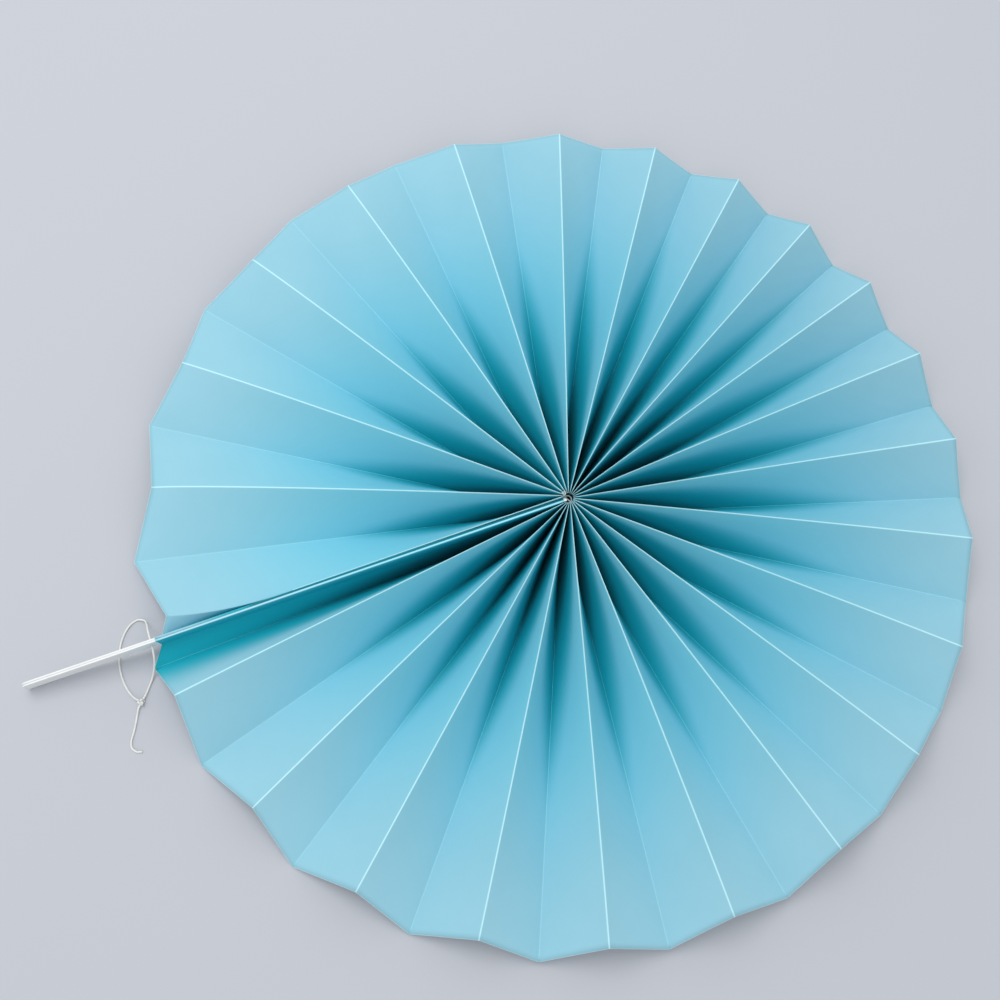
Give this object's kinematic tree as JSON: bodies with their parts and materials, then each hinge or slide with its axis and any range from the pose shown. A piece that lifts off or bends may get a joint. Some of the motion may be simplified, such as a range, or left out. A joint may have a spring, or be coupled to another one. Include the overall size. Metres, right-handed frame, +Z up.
{
  "type": "pleated round paper fan",
  "caption": "Sky-blue pleated paper fan opened to a full round, with two flat white handle sticks and a thin tie cord.",
  "frame": {"origin": "on the hub axis of the fan, at the height of the surface it lies on", "axes": "+Z up through the hub, out of the front of the fan; the handle runs along -X; +Y is the side of the left stick"},
  "size_m": [0.5876, 0.5145, 0.0529],
  "materials": {
    "blue_paper": "matte",
    "white_card": "satin",
    "pale_cord": "matte"
  },
  "bodies": {
    "root": {"paper_pleats": "blue_paper", "handle_stick_left": "white_card", "handle_stick_right": "white_card", "hub_thread": "pale_cord", "tie_cord_loop": "pale_cord", "tie_cord_knot": "pale_cord", "tie_cord_tail": "pale_cord"}
  },
  "joints": []
}
